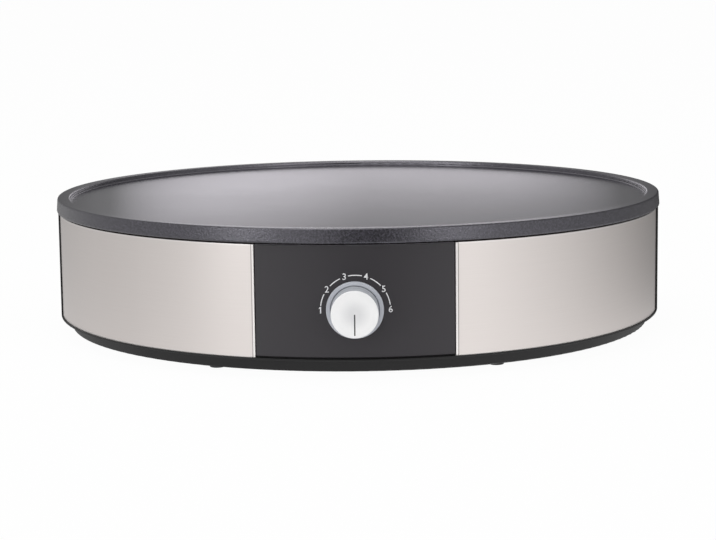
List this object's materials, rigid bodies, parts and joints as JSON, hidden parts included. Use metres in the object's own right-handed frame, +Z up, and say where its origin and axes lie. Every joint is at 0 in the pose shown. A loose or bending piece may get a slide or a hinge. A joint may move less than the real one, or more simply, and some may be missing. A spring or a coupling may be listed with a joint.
{
  "type": "electric crepe maker",
  "caption": "Round electric crepe maker: a raised-rim cooking plate on a low drum with steel side panels, a lit thermostat dial and small feet.",
  "frame": {"origin": "centre of the standing plane, where the drum's axis meets the table", "axes": "+Z up along the drum's axis, -Y towards the control panel at the front, +Y out of the cord gland at the back, +X to the right seen from the front"},
  "size_m": [0.3598, 0.3816, 0.08],
  "materials": {
    "coated_aluminium": "matte dark non-stick coating",
    "sheet_steel": "satin stainless sheet",
    "black_plastic": "fine matte",
    "panel_plastic": "fine matte",
    "knob_grey": "smooth matte",
    "knob_metal": "spun, bright",
    "pointer_paint": "matte",
    "frosted_plastic": "frosted, blue-grey",
    "spring_steel": "plain",
    "plated_steel": "zinc plated",
    "element_sheath": "dull",
    "ceramic_body": "unglazed",
    "reflector_sheet": "mill finish",
    "lamp_glass": "clear orange",
    "lamp_clip": "plain",
    "thermostat_case": "dark brown moulding",
    "terminal_plastic": "plain",
    "brass_metal": "plain",
    "copper_tube": "plain copper",
    "brown_insulation": "silicone",
    "black_insulation": "silicone",
    "red_insulation": "silicone",
    "blue_insulation": "silicone",
    "earth_insulation": "silicone",
    "foot_rubber": "matte"
  },
  "bodies": {
    "housing": {"baking_plate": "coated_aluminium", "heating_element": "element_sheath", "element_seals": "ceramic_body", "element_straps": "plated_steel", "strap_screws": "plated_steel", "plate_insulators": "ceramic_body", "plate_screws": "plated_steel", "heat_reflector": "reflector_sheet", "housing": "black_plastic", "side_panel_left": "sheet_steel", "side_panel_right": "sheet_steel", "control_panel": "panel_plastic", "panel_screws": "plated_steel", "light_ring": "frosted_plastic", "pilot_lamp": "lamp_glass", "lamp_holder": "lamp_clip", "thermostat_bracket": "plated_steel", "bracket_screws": "plated_steel", "thermostat_plate": "plated_steel", "thermostat_screws": "plated_steel", "thermostat_cup": "plated_steel", "thermostat_head": "thermostat_case", "thermostat_blades": "brass_metal", "capillary_tube": "copper_tube", "sensor_bulb": "copper_tube", "bulb_clip": "plated_steel", "bulb_clip_screws": "plated_steel", "thermal_fuse": "plated_steel", "fuse_clip": "plated_steel", "fuse_clip_screws": "plated_steel", "terminal_block": "terminal_plastic", "terminal_sleeves": "brass_metal", "terminal_screws": "plated_steel", "block_screw": "plated_steel", "wire_live": "brown_insulation", "wire_switched": "black_insulation", "wire_heater": "red_insulation", "wire_neutral": "blue_insulation", "wire_earth": "earth_insulation", "earth_screw": "plated_steel", "cord_gland": "black_plastic", "gland_nut": "black_plastic", "base": "black_plastic", "base_screws": "plated_steel", "foot_front_right": "foot_rubber", "foot_rear_right": "foot_rubber", "foot_rear_left": "foot_rubber", "foot_front_left": "foot_rubber"},
    "knob": {"knob_body": "knob_grey", "knob_cap": "knob_metal", "knob_pointer": "pointer_paint", "knob_spring": "spring_steel", "thermostat_spindle": "plated_steel"}
  },
  "joints": [
    {"name": "knob_turn", "type": "hinge", "parent": "housing", "child": "knob", "pos_m": [0, -0.18, 0.037], "axis": [0, 1, 0], "range_deg": [0, 270]}
  ]
}
